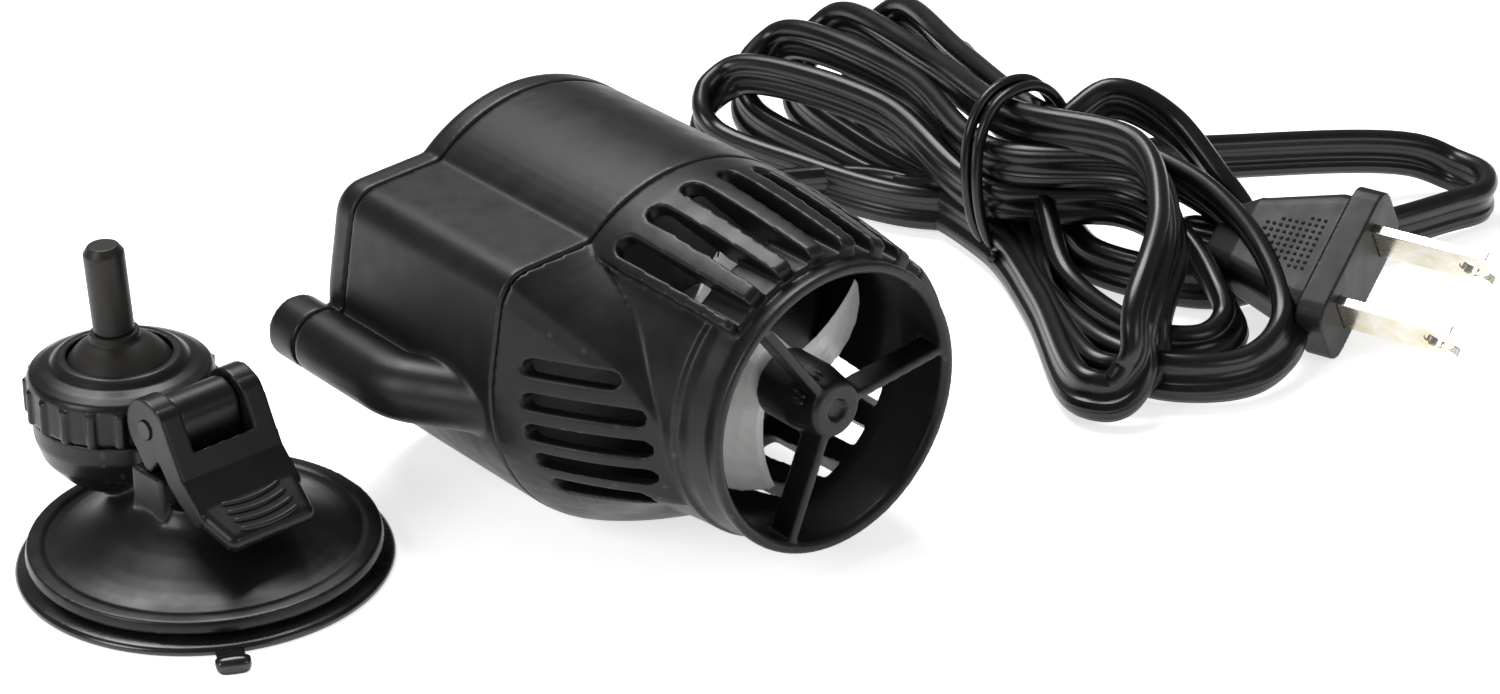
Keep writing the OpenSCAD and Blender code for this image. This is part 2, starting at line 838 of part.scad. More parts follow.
module cup_cover() {
    socket_top_z = ball_z - 2.7;
    color([0.045, 0.045, 0.05])
        at_bracket()
            difference() {
                union() {
                    rotate_extrude()
                        polygon([[0, 2.3], [23, 2.3], [23.2, 2.8], [22.9, 4], [21, 4.2], [20.6, 3.9],
                            [19, 4.3], [17.4, 4.9], [15.6, 5.7], [14, 6.5], [12.4, 7.3], [11, 8.1],
                            [9.9, 8.8], [9, 9.6], [8.3, 10.6], [7.9, 11.6], [0, 11.6]]);
                    translate([-8.4, -3.2, 8])
                        cube([16.8, 6.4, deck_z - 8]);
                    translate([0, ball_offset, 0])
                        rotate_extrude()
                            polygon([[0, 5.4], [5, 6], [8.6, 8], [11, 10.8], [11.9, 13.6],
                                [11.9, socket_top_z], [10.5, socket_top_z], [10.5, ball_z + 0.9],
                                [0, ball_z + 0.9]]);
                    translate([-5.5, 3, 8])
                        cube([11, 10, deck_z - 8.2]);
                }
                cylinder(r = stem_r + running_gap, h = 30);
                cylinder(r = 7.2, h = 7.4);
                rotate_extrude()
                    polygon([[0, 2], [20, 2], [20, 2.9], [16.4, 4], [12, 6.2], [0, 7]]);
                translate([0, ball_offset, ball_z - 8.5])
                    cylinder(r = 9.6, h = 12);
            }
}

module plunger() {
    color([0.05, 0.05, 0.055])
        at_bracket()
            difference() {
                union() {
                    translate([0, 0, 4.8])
                        cylinder(r = 6.6, h = 1.4);
                    translate([0, 0, 5])
                        cylinder(r = stem_r, h = pivot_z - 5);
                    translate([-4.4, 0, pivot_z])
                        rotate([0, 90, 0])
                            cylinder(r = 3.3, h = 8.8);
                    translate([-4.4, -3.3, deck_z + 0.2 + plunger_travel])
                        cube([8.8, 6.6, pivot_z - deck_z - 0.2 - plunger_travel]);
                }
                translate([-6, 0, pivot_z])
                    rotate([0, 90, 0])
                        cylinder(r = pin_r + 0.02, h = 12);
            }
}

module lever_pin() {
    color([0.5, 0.5, 0.5])
        at_bracket()
            translate([-8.2, 0, pivot_z])
                rotate([0, 90, 0])
                    cylinder(r = pin_r, h = 16.4);
}

// The lever seen from its side: an eye round the pin, a cam toe below it and a plate out to the grip
lever_heel = [-9.6, -8.9];
lever_tip = [-14.3, -11.2];
plate_half_t = 1.4;

module lever_outline() {
    knee = [-5.9, -5.8];
    hull() {
        circle(ear_r);
        translate([0, -5])
            circle(1);
    }
    hull() {
        translate([-1.6, 1])
            circle(2.5);
        translate(knee)
            circle(1.7);
    }
    hull() {
        translate(knee)
            circle(1.7);
        translate(lever_heel)
            circle(plate_half_t);
    }
}

// The slot between the lever's ears leaves the plate solid from just in front of the plunger
module lock_lever() {
    ear_gap_r = 6.2;
    ear_gap_w = 2 * ear_x - ear_t;
    lever_w = 2 * ear_x + ear_t;
    tip_half_w = 5.4;
    color([0.05, 0.05, 0.055])
        at_bracket()
            translate([0, 0, pivot_z])
                difference() {
                    union() {
                        translate([lever_w / 2, 0, 0])
                            rotate([90, 0, -90])
                                mirror([1, 0, 0])
                                    linear_extrude(lever_w)
                                        lever_outline();
                        hull()
                            for (side = [-1, 1]) {
                                translate([side * (lever_w / 2 - plate_half_t), lever_heel[0], lever_heel[1]])
                                    sphere(plate_half_t, $fn = 32);
                                translate([side * tip_half_w, lever_tip[0], lever_tip[1]])
                                    sphere(plate_half_t, $fn = 32);
                            }
                    }
                    translate([-ear_gap_w / 2, 0, 0])
                        rotate([0, 90, 0])
                            cylinder(r = ear_gap_r, h = ear_gap_w);
                    translate([-12, 0, 0])
                        rotate([0, 90, 0])
                            cylinder(r = pin_r + running_gap, h = 24);
                }
}

module ball_seat() {
    color([0.1, 0.1, 0.1])
        at_ball()
            difference() {
                translate([0, 0, -8.3])
                    cylinder(r = 9.5, h = 8);
                sphere(ball_r + running_gap);
                translate([0, 0, -10])
                    cylinder(r = 4, h = 5);
            }
}

// Points the stalk's axis: it leans to the pump's left and back
lean_axis = [-0.635, -0.773, 0];

module leaned() {
    translate(bracket_at + [-ball_offset * sin(bracket_turn), ball_offset * cos(bracket_turn), ball_z])
        rotate(a = stalk_lean, v = lean_axis)
            children();
}

// The stalk's thinner tang sits in the ball, and its shoulder stands this far above the ball
tang_r = 2.2;
stalk_shoulder = 0.4;

module swivel_ball() {
    color([0.13, 0.12, 0.11])
        leaned()
            difference() {
                union() {
                    sphere(ball_r);
                    translate([0, 0, ball_r - 3])
                        cylinder(r = stalk_r + 0.6, h = 3 + stalk_shoulder - 0.05);
                }
                translate([0, 0, 2])
                    cylinder(r = tang_r + 0.02, h = 10);
            }
}

module mount_stalk() {
    color([0.05, 0.05, 0.05])
        leaned() {
            translate([0, 0, 2.1])
                cylinder(r = tang_r, h = ball_r + 1);
            translate([0, 0, ball_r + stalk_shoulder])
                cylinder(r = stalk_r, h = stalk_l - stalk_shoulder - 1);
            translate([0, 0, ball_r + stalk_l - 1])
                cylinder(r1 = stalk_r, r2 = stalk_r - 0.7, h = 1);
        }
}

module clamp_washer() {
    color([0.85, 0.85, 0.8])
        at_ball()
            difference() {
                translate([0, 0, 1.1])
                    cylinder(r = 10.3, h = 1);
                cylinder(r = 8.35, h = 5);
            }
}

module clamp_nut() {
    nut_low = -2.4;
    color([0.05, 0.05, 0.055])
        at_ball()
            difference() {
                union() {
                    rotate_extrude()
                        polygon([[0, nut_low], [12.1, nut_low], [12.25, nut_low + 0.3], [12.25, 2.6],
                            [11.9, 3.3], [10.6, 3.9], [9.2, 4.3], [8.6, 4.9], [8, 5.3], [7.4, 5.3],
                            [0, 5.3]]);
                    for (i = [0 : rib_count - 1])
                        rotate([0, 0, i * 360 / rib_count])
                            translate([12, 0, nut_low])
                                cylinder(r = 0.8, h = 4.6, $fn = 16);
                }
                sphere(ball_r + 0.3);
                translate([0, 0, nut_low - 1])
                    cylinder(r = 10.6, h = 3.2 - nut_low);
                cylinder(r = 6.95, h = 10);
            }
}

motor_housing();
rear_cover();
front_cage();
well_plate();
stator_core();
coil_bobbin();
coil_winding();
thermal_fuse();
lead_wires();
epoxy_potting();
rear_bush();
front_bush();
rotor_shaft();
rear_washer();
rotor_magnet();
magnet_carrier();
front_washer();
impeller();
cord_gland();
power_cord();
cord_tie();
plug_body();
plug_blades();
suction_cup();
cup_cover();
plunger();
lever_pin();
lock_lever();
ball_seat();
swivel_ball();
mount_stalk();
clamp_washer();
clamp_nut();
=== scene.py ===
import json
import math

import bpy
import numpy as np
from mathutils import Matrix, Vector


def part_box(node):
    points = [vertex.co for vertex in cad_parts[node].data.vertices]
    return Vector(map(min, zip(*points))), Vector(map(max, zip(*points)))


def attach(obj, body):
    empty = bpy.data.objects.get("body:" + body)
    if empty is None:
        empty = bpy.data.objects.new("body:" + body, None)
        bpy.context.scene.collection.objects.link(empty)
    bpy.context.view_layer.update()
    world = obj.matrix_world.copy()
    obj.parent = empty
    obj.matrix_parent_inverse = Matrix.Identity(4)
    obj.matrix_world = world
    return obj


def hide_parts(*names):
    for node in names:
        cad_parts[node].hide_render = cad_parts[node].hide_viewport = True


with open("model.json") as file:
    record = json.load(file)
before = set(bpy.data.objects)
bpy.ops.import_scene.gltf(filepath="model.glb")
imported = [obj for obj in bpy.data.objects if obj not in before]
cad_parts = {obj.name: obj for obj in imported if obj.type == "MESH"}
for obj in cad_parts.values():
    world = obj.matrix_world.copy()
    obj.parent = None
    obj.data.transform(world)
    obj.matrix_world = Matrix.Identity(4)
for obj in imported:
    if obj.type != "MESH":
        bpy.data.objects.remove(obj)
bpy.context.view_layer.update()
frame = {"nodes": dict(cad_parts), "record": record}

MM = 0.001
nodes = frame["nodes"]
mounts = {m["name"]: m for m in frame["record"]["mounts"]}


# ---- Places read from the frame ----

def box_mm(name):
    low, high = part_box(name)
    return low / MM, high / MM


def middle_mm(name):
    low, high = box_mm(name)
    return (low + high) / 2


FLOOR_Z = box_mm("suction_cup")[0].z
PLUG_FACE = Vector(mounts["plug_blades"]["pos_m"]) / MM
PLUG_OUT = Vector(mounts["plug_blades"]["axis"]).normalized()
CUP = Vector(mounts["suction_face"]["pos_m"]) / MM
TAB_ANGLE = 244.3
PLUG_ROLL = 34
WAIST = middle_mm("cord_tie")
GLAND = middle_mm("cord_gland")


# ---- Materials ----

class Shader:
    """A principled material whose inputs are driven by noise in object space."""

    def __init__(self, name, colour, rough, metal=0.0):
        self.material = bpy.data.materials.new(name)
        self.material.use_nodes = True
        self.tree = self.material.node_tree
        self.bsdf = self.tree.nodes["Principled BSDF"]
        self.place = self.node("ShaderNodeTexCoord").outputs["Object"]
        self.bsdf.inputs["Base Color"].default_value = (*colour, 1)
        self.bsdf.inputs["Roughness"].default_value = rough
        self.bsdf.inputs["Metallic"].default_value = metal
        self.material.diffuse_color = (*colour, 1)
        self.normal = None

    def node(self, kind, **values):
        made = self.tree.nodes.new(kind)
        for key, value in values.items():
            setattr(made, key, value)
        return made

    def link(self, out, into):
        self.tree.links.new(out, into)

    def set(self, **values):
        for key, value in values.items():
            self.bsdf.inputs[key.replace("_", " ")].default_value = value
        return self

    def stretched(self, sx, sy, sz, turn=(0, 0, 0)):
        """Object coordinates scaled per axis, for grain that runs one way."""
        mapping = self.node("ShaderNodeMapping")
        mapping.inputs["Scale"].default_value = (sx, sy, sz)
        mapping.inputs["Rotation"].default_value = turn
        self.link(self.place, mapping.inputs["Vector"])
        return mapping.outputs["Vector"]

    def noise(self, size, detail=2.0, place=None):
        """Noise from 0 to 1 whose lumps are about size millimetres across."""
        made = self.node("ShaderNodeTexNoise")
        made.inputs["Scale"].default_value = 1 / (size * MM)
        made.inputs["Detail"].default_value = detail
        self.link(place or self.place, made.inputs["Vector"])
        return made.outputs["Fac"]

    def bands(self, size, axis, distortion=0.0):
        """Parallel bands, one every size millimetres along an axis."""
        made = self.node("ShaderNodeTexWave", bands_direction=axis)
        # A wave texture repeats every 0.05 * 2 * pi units at scale 1
        made.inputs["Scale"].default_value = 0.314 / (size * MM)
        made.inputs["Distortion"].default_value = distortion
        self.link(self.place, made.inputs["Vector"])
        return made.outputs["Fac"]

    def remap(self, value, low, high, to_low, to_high):
        made = self.node("ShaderNodeMapRange")
        for key, number in (("From Min", low), ("From Max", high), ("To Min", to_low), ("To Max", to_high)):
            made.inputs[key].default_value = number
        self.link(value, made.inputs["Value"])
        return made.outputs["Result"]

    def tint(self, value, low, high, dark, light):
        """A colour between dark and light as value goes from low to high."""
        ramp = self.node("ShaderNodeValToRGB")
        first, last = ramp.color_ramp.elements
        first.position, last.position = low, high
        first.color, last.color = (*dark, 1), (*light, 1)
        self.link(value, ramp.inputs["Fac"])
        return ramp.outputs["Color"]

    def colour_from(self, out):
        self.link(out, self.bsdf.inputs["Base Color"])
        return self

    def paint_edge_highlights(self, base, edge, low=0.52, high=0.62):
        """Painted highlights: edges painted a little paler than the faces between them, standing in for the
        light that rounded edges catch.
        """
        mix = self.node("ShaderNodeMix", data_type="RGBA")
        pointy = self.node("ShaderNodeNewGeometry").outputs["Pointiness"]
        self.link(self.remap(pointy, low, high, 0, 1), mix.inputs["Factor"])
        self.link(base, mix.inputs[6])
        mix.inputs[7].default_value = (*edge, 1)
        return mix.outputs[2]

    def rough_from(self, value, low, high, rough_low, rough_high):
        self.link(self.remap(value, low, high, rough_low, rough_high), self.bsdf.inputs["Roughness"])
        return self

    def bump(self, value, depth):
        """Adds relief of depth millimetres on top of any relief already there."""
        made = self.node("ShaderNodeBump")
        made.inputs["Strength"].default_value = 1.0
        made.inputs["Distance"].default_value = depth * MM
        self.link(value, made.inputs["Height"])
        if self.normal is not None:
            self.link(self.normal, made.inputs["Normal"])
        self.normal = made.outputs["Normal"]
        self.link(self.normal, self.bsdf.inputs["Normal"])
        return self


def moulded(name, dark, light, edge, rough, grain, depth):
    """Moulded plastic: spark-eroded grain, slow sheen changes, faint flow marks and any painted highlights
    along the edges.
    """
    s = Shader(name, dark, rough)
    s.set(Specular_IOR_Level=0.3)
    body = s.tint(s.noise(6, 4), 0.3, 0.7, dark, light)
    # Where an edge colour is given, the edges get a painted highlight
    s.colour_from(s.paint_edge_highlights(body, edge) if edge else body)
    s.rough_from(s.noise(3.5, 5), 0.3, 0.7, rough - 0.05, rough + 0.06)
    s.bump(s.noise(grain, 3), depth)
    s.bump(s.noise(5, 1), 0.02)
    return s


def make_materials():
    made = {}
    # The third colour of a moulded finish, where given, is a painted highlight along its edges
    made["housing"] = moulded("housing_abs", (0.0055, 0.0055, 0.006), (0.009, 0.009, 0.010),
                              (0.03, 0.03, 0.031), 0.38, 0.22, 0.012)
    made["bracket"] = moulded("bracket_abs", (0.005, 0.005, 0.0055), (0.008, 0.008, 0.009),
                              (0.028, 0.028, 0.029), 0.33, 0.3, 0.006)
    made["stalk"] = moulded("stalk_nylon", (0.010, 0.009, 0.008), (0.018, 0.016, 0.014),
                            None, 0.42, 0.35, 0.02)
    made["ball"] = moulded("ball_rubber", (0.012, 0.011, 0.0095), (0.019, 0.017, 0.015),
                           None, 0.52, 0.25, 0.01)

    s = Shader("soft_pvc", (0.008, 0.008, 0.009), 0.25)
    s.colour_from(s.tint(s.noise(8, 3), 0.35, 0.7, (0.004, 0.004, 0.0045), (0.008, 0.008, 0.009)))
    s.rough_from(s.noise(4, 4), 0.3, 0.7, 0.2, 0.34)
    s.bump(s.noise(1.2, 3), 0.012)
    made["rubber"] = s.set(Coat_Weight=0.25, Coat_Roughness=0.18)

    s = Shader("cord_pvc", (0.006, 0.006, 0.006), 0.27)
    s.colour_from(s.tint(s.noise(5, 3), 0.35, 0.7, (0.003, 0.003, 0.0033), (0.006, 0.006, 0.0065)))
    s.rough_from(s.noise(6, 3), 0.3, 0.7, 0.27, 0.34)
    s.bump(s.noise(0.6, 2), 0.003)
    made["cord"] = s.set(Specular_IOR_Level=0.4, Coat_Weight=0.08, Coat_Roughness=0.15)

    # Its third colour is a painted highlight along the edges
    made["plug"] = moulded("plug_pvc", (0.005, 0.005, 0.005), (0.008, 0.008, 0.008),
                           (0.024, 0.024, 0.025), 0.45, 0.3, 0.006)

    s = Shader("impeller_nylon", (0.80, 0.79, 0.77), 0.42)
    s.colour_from(s.tint(s.noise(5, 3), 0.3, 0.7, (0.74, 0.73, 0.71), (0.86, 0.85, 0.84)))
    s.rough_from(s.noise(2, 3), 0.3, 0.7, 0.36, 0.5)
    s.bump(s.noise(0.4, 2), 0.006)
    s.set(Subsurface_Weight=0.35, Subsurface_Radius=(1.0, 0.9, 0.8), Subsurface_Scale=1.5 * MM)
    made["impeller"] = s

    s = Shader("plated_brass", (0.82, 0.77, 0.64), 0.2, 1.0)
    long_grain = s.noise(0.25, 3, s.stretched(1, 0.08, 1, (0, 0, math.radians(-17))))
    s.colour_from(s.tint(s.noise(3, 3), 0.35, 0.65, (0.78, 0.71, 0.55), (0.88, 0.86, 0.80)))
    s.rough_from(long_grain, 0.3, 0.7, 0.14, 0.3)
    made["blades"] = s.bump(long_grain, 0.008)

    s = Shader("ground_ceramic", (0.82, 0.81, 0.77), 0.3)
    s.colour_from(s.tint(s.noise(1.5, 4), 0.3, 0.7, (0.76, 0.75, 0.71), (0.88, 0.87, 0.84)))
    made["ceramic"] = s.bump(s.noise(0.15, 3), 0.004)

    s = Shader("stacked_steel", (0.3, 0.3, 0.32), 0.38, 0.9)
    sheets = s.bands(0.5, "Y")
    s.colour_from(s.tint(sheets, 0.05, 0.35, (0.05, 0.05, 0.055), (0.36, 0.36, 0.38)))
    made["laminations"] = s.bump(sheets, 0.08)

    s = Shader("sintered_ferrite", (0.06, 0.06, 0.065), 0.6)
    s.colour_from(s.tint(s.noise(0.3, 4), 0.35, 0.65, (0.035, 0.035, 0.04), (0.10, 0.10, 0.105)))
    made["magnet"] = s.bump(s.noise(0.2, 4), 0.02)

    s = Shader("natural_nylon", (0.72, 0.69, 0.62), 0.45)
    s.colour_from(s.tint(s.noise(4, 3), 0.3, 0.7, (0.66, 0.63, 0.56), (0.78, 0.75, 0.69)))
    made["bobbin"] = s.bump(s.noise(0.3, 2), 0.008)

    s = Shader("enamelled_copper", (0.5, 0.2, 0.08), 0.25, 0.85)
    turns = s.bands(0.35, "Z", 0.4)
    s.colour_from(s.tint(turns, 0.1, 0.5, (0.16, 0.05, 0.02), (0.62, 0.27, 0.11)))
    made["copper"] = s.bump(turns, 0.12)

    s = Shader("cast_resin", (0.03, 0.027, 0.024), 0.16)
    s.colour_from(s.tint(s.noise(3, 5), 0.35, 0.7, (0.022, 0.02, 0.018), (0.05, 0.044, 0.038)))
    made["epoxy"] = s.bump(s.noise(2.5, 2), 0.06)

    s = Shader("pin_steel", (0.55, 0.55, 0.56), 0.28, 1.0)
    s.rough_from(s.noise(0.3, 3), 0.3, 0.7, 0.2, 0.36)
    made["pin_steel"] = s.bump(s.noise(0.12, 3), 0.004)
    return {key: shader.material for key, shader in made.items()}


materials = make_materials()


def paint(obj, key):
    obj.data.materials.clear()
    obj.data.materials.append(materials[key])


# The record's slot of each node gives its material, apart from these
OWN_FINISH = {"swivel_ball": "ball", "mount_stalk": "stalk", "plug_body": "plug", "lever_pin": "bracket"}
for part in frame["record"]["subparts"]:
    name = part["node"]
    paint(nodes[name], OWN_FINISH.get(name, part["material_slot"]))


# ---- Moulded edges on the CAD shells ----

def soften(name, voxel, rounds):
    """Rounds every edge of a CAD shell by about voxel millimetres times the root of rounds."""
    shell = nodes[name]
    fine = shell.modifiers.new("fine", "REMESH")
    fine.mode = "VOXEL"
    fine.voxel_size = voxel * MM
    fine.use_smooth_shade = True
    relax = shell.modifiers.new("relax", "SMOOTH")
    relax.factor = 0.5
    relax.iterations = rounds


SOFTENED = {"motor_housing": (0.34, 5), "rear_cover": (0.34, 5), "front_cage": (0.29, 4),
            "cup_cover": (0.26, 6), "lock_lever": (0.16, 8), "plunger": (0.18, 6),
            "clamp_nut": (0.18, 5), "swivel_ball": (0.2, 3), "mount_stalk": (0.12, 6),
            "plug_body": (0.2, 6), "impeller": (0.16, 4), "cord_gland": (0.15, 5),
            "plug_blades": (0.1, 3)}
for name, (voxel, rounds) in SOFTENED.items():
    soften(name, voxel, rounds)


# ---- Mesh helpers ----

def add_mesh(name, points, faces, material, body):
    """A mesh from points in millimetres, riding on a body."""
    mesh = bpy.data.meshes.new(name)
    mesh.from_pydata([tuple(Vector(p) * MM) for p in points], [], faces)
    mesh.validate()
    mesh.polygons.foreach_set("use_smooth", [True] * len(mesh.polygons))
    obj = bpy.data.objects.new(name, mesh)
    bpy.context.scene.collection.objects.link(obj)
    paint(obj, material)
    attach(obj, body)
    return obj


def skin_faces(rings, count):
    """Quads between rings of count points, with an end cap at each end."""
    faces = []
    for j in range(rings - 1):
        a, b = j * count, (j + 1) * count
        for i in range(count):
            k = (i + 1) % count
            faces.append((a + i, a + k, b + k, b + i))
    faces.append(tuple(range(count - 1, -1, -1)))
    faces.append(tuple(range((rings - 1) * count, rings * count)))
    return faces


def spline(stops, steps):
    """A smooth run of rows through rows of numbers, with even speed through each stop."""
    rows = [np.array(s, float) for s in stops]
    n = len(rows)
    out = []
    for i in range(n - 1):
        b, c = rows[i], rows[i + 1]
        a = rows[i - 1] if i else 2 * b - c
        d = rows[i + 2] if i + 2 < n else 2 * c - b
        # Centripetal knots keep the run from bulging where stops are close together
        gaps = [max(1e-6, np.linalg.norm((q - p)[:3])) ** 0.5 for p, q in ((a, b), (b, c), (c, d))]
        t0, t1 = 0, gaps[0]
        t2, t3 = t1 + gaps[1], t1 + gaps[1] + gaps[2]
        for j in range(steps):
            t = t1 + (t2 - t1) * j / steps
            p = (t1 - t) / (t1 - t0) * a + (t - t0) / (t1 - t0) * b
            q = (t2 - t) / (t2 - t1) * b + (t - t1) / (t2 - t1) * c
            r = (t3 - t) / (t3 - t2) * c + (t - t2) / (t3 - t2) * d
            pq = (t2 - t) / (t2 - t0) * p + (t - t0) / (t2 - t0) * q
            qr = (t3 - t) / (t3 - t1) * q + (t - t1) / (t3 - t1) * r
            out.append((t2 - t) / (t2 - t1) * pq + (t - t1) / (t2 - t1) * qr)
    out.append(rows[-1])
    return out


def sweep(rows, section):
    """Rings of a section along rows of x, y, z and roll. At roll 0 the section's wide way is level."""
    points = []
    n = len(rows)
    for i, row in enumerate(rows):
        here = Vector(row[:3])
        ahead = Vector(rows[min(n - 1, i + 1)][:3])
        behind = Vector(rows[max(0, i - 1)][:3])
        way = (ahead - behind).normalized()
        side = Vector((0, 0, 1)).cross(way).normalized()
        up = way.cross(side)
        roll = math.radians(row[3])
        wide = side * math.cos(roll) + up * math.sin(roll)
        thin = way.cross(wide)
        points += [here + wide * u + thin * v for u, v in section]
    return points


def lathe(profile, count):
    """Rings of points for a profile of radius and height turned about the Z axis."""
    return [[(r * math.cos(a), r * math.sin(a), z) for r, z in profile]
            for a in (2 * math.pi * i / count for i in range(count))]


# ---- Power cord ----

CORE_R = 1.62
CORE_SPREAD = 1.82


def cord_section():
    """Two joined cores, with fine ribs along the outside of one of them."""
    points = []
    for side in (1, -1):
        steps = 18 if side > 0 else 26
        for i in range(steps + 1):
            a = math.radians(-140 + 280 * i / steps)
            rib = 0.09 * math.cos(13 * a) if side < 0 else 0.04 * math.cos(9 * a)
            r = CORE_R + rib
            points.append((side * (CORE_SPREAD + r * math.cos(a)), side * r * math.sin(a)))
    return points


# Each loop of the tied coil: the way it points from the tie, the distance to the middle of its end bend,
# the bend's radius, its height where it passes the tie high, and how far its returning leg bulges outwards
RIGHT_LOOPS = [(-119, 51, 4.5, 24, 9.5), (-97, 41, 14.5, 19, 0), (-115, 46, 5, 19, 10),
               (-97, 39, 7.5, 11, 4), (-62, 29, 8.5, 23, 5)]
# The loops at the left end fan out evenly
LEFT_FAN_START = 104
LEFT_FAN_STEP = 10
LEFT_REACH = 54
LEFT_BEND_R = 4.5
# Their heights, and each one's place in the fan
LEFT_TOPS = [20, 20.5, 18.5, 15, 13]
LEFT_ORDER = [2, 3, 1, 0, 4]
# Where each loop passes the tie high and low, as a lane and a level
HIGH_PASSES = [(1.2, 2.1), (2.6, 1.9), (0.2, 1.5), (0, 0.8), (3, 1.5)]
LOW_PASSES = [(0, 0), (1, 0), (2, 0), (1.6, 0.9), (3, 0)]
# Height of the middle of a strand that lies on the floor, standing on its edge
LOW_H = 4.2
# How far the plug's body reaches back from the face with the blades
PLUG_L = 22
# Roll of the flat cord, in degrees: inside the tie, in the right loops' bends and in the left loops' bends
TIED_ROLL = 80
RIGHT_ROLL = 50
LEFT_ROLL = 86
# Where the height changes along a loop: the stop that the change starts at, and how many stops it takes
RIGHT_CHANGE = (3, 4.2)
LEFT_CHANGE = (0, 7)
LAST_CHANGE = (-1, 3)


def smooth_step(x):
    """From 0 to 1 without a corner, as x goes from 0 to 1."""
    x = min(1.0, max(0.0, x))
    return x * x * (3 - 2 * x)


def loop_stops(aim, reach, bend_r, heights, change, tip_roll, bulge=0.0, turn=1):
    """A leg out from the tie, a round bend and a leg back. The height goes from the first of heights to the
    second as change says. A turn of 1 runs anticlockwise round the bend, and -1 clockwise."""
    out_h, back_h = heights
    first, over = change
    a = math.radians(aim)

    def point(forward, aside):
        return (WAIST.x + forward * math.cos(a) + turn * aside * math.sin(a),
                WAIST.y + forward * math.sin(a) - turn * aside * math.cos(a))

    # The legs' places are shares of the loop's reach and of its bend's radius
    plan = [point(reach * 0.5, bend_r * 0.75)]
    for bend in (-90, -45, 0, 45, 90):
        b = math.radians(bend)
        plan.append(point(reach + bend_r * math.cos(b), -bend_r * math.sin(b)))
    plan += [point(reach * 0.68, -bend_r - 0.8 * bulge), point(reach * 0.36, -bend_r * 0.7 - bulge)]
    last = len(plan) - 1
    stops = []
    for i, (x, y) in enumerate(plan):
        height = out_h + (back_h - out_h) * smooth_step((i - first) / over)
        roll = tip_roll + (TIED_ROLL - tip_roll) * abs(i - last / 2) / (last / 2)
        stops.append([x, y, height, roll])
    return stops


def cord_route():
    """Stops of x, y, z and roll, from the gland through the tied coil to the plug."""
    lane_w, level_h = 3.9, 8.6
    middle_lane = 1.5

    def through(lane, level):
        """A pass through the tie, in a lane counted from the left and a level counted from the floor."""
        return [WAIST.x + (lane - middle_lane) * lane_w, WAIST.y, LOW_H + level * level_h, TIED_ROLL]

    gland = [GLAND.x, GLAND.y, GLAND.z - FLOOR_Z]
    tail = PLUG_FACE - PLUG_OUT * PLUG_L
    before = tail - PLUG_OUT * 7
    # Behind the pump the cord bends round to the coil, lying on the floor
    route = [gland + [0], [gland[0], gland[1] + 5, gland[2], 0]]
    sweep_r = (WAIST.x - GLAND.x) / 2
    flattening = 0.78
    for bend in (160, 130, 95, 60, 30):
        b = math.radians(bend)
        route.append([GLAND.x + sweep_r + sweep_r * math.cos(b),
                      GLAND.y - 5 + sweep_r * flattening * math.sin(b),
                      LOW_H + 4 * smooth_step((bend - 130) / 30),
                      TIED_ROLL if bend < 110 else 40])
    for k, (aim, reach, bend_r, top_h, bulge) in enumerate(RIGHT_LOOPS):
        route.append(through(*LOW_PASSES[k]))
        route += loop_stops(aim, reach, bend_r, (LOW_H, top_h), RIGHT_CHANGE, RIGHT_ROLL, bulge)
        route.append(through(*HIGH_PASSES[k]))
        place = LEFT_ORDER[k]
        left_aim = LEFT_FAN_START - LEFT_FAN_STEP * place
        left_reach = LEFT_REACH - place * place * 0.5
        route += loop_stops(left_aim, left_reach, LEFT_BEND_R, (LEFT_TOPS[k], LOW_H), LEFT_CHANGE, LEFT_ROLL)
    # The last length runs out to the right, turns back the other way and rises into the plug.
    # It keeps only the leg out and the bend of a loop.
    route.append(through(2.6, 1))
    last_loop = loop_stops(-26.5, 66, 8.5, (12, LOW_H), LAST_CHANGE, LEFT_ROLL, turn=-1)
    route += last_loop[:6]
    behind = tail - PLUG_OUT * 10 - PLUG_OUT.cross(Vector((0, 0, 1))) * 10
    halfway = [(behind.x + route[-1][0]) / 2, (behind.y + route[-1][1]) / 2 - 5]
    route += [[*halfway, LOW_H, TIED_ROLL],
              [behind.x, behind.y, LOW_H + 1.2, 45],
              [before.x, before.y, before.z - FLOOR_Z - 0.6, 20],
              [tail.x, tail.y, tail.z - FLOOR_Z, 30]]
    return [[x, y, h + FLOOR_Z, roll] for x, y, h, roll in route]


def make_cord():
    rows = spline(cord_route(), 12)
    section = cord_section()
    cord = add_mesh("flat_cord", sweep(rows, section), skin_faces(len(rows), len(section)),
                    "cord", "pump")
    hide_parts("power_cord")


def make_tie():
    """Coated wire wrapped twice round the coil's waist, with its ends twisted together."""
    wire_r = 0.85
    low, high = FLOOR_Z + 1.0, FLOOR_Z + 27.0
    half_w = 9.6
    squeeze = 0.86
    stops = []
    for turn, y_shift in ((0, -1.2), (1, 1.2)):
        for i in range(10):
            a = math.radians(-70 + 36 * i)
            u = math.copysign(abs(math.cos(a)) ** squeeze, math.cos(a)) * half_w
            v = math.copysign(abs(math.sin(a)) ** squeeze, math.sin(a)) * (high - low) / 2
            stops.append([WAIST.x + u, WAIST.y + y_shift + 0.12 * v, (low + high) / 2 + v + 0.3 * turn, 0])
    tail_way = Vector((-0.7, -0.5, 0.25))
    knot = Vector(stops[-1][:3])
    for k in range(1, 5):
        p = knot + tail_way * (2.2 * k)
        stops.append([p.x, p.y, p.z, 0])
    rows = spline(stops, 8)
    ring = [(wire_r * math.cos(a), wire_r * math.sin(a)) for a in (math.tau * i / 12 for i in range(12))]
    tie = add_mesh("wire_tie", sweep(rows, ring), skin_faces(len(rows), len(ring)),
                   "cord", "pump")
    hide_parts("cord_tie")


# ---- Suction cup ----

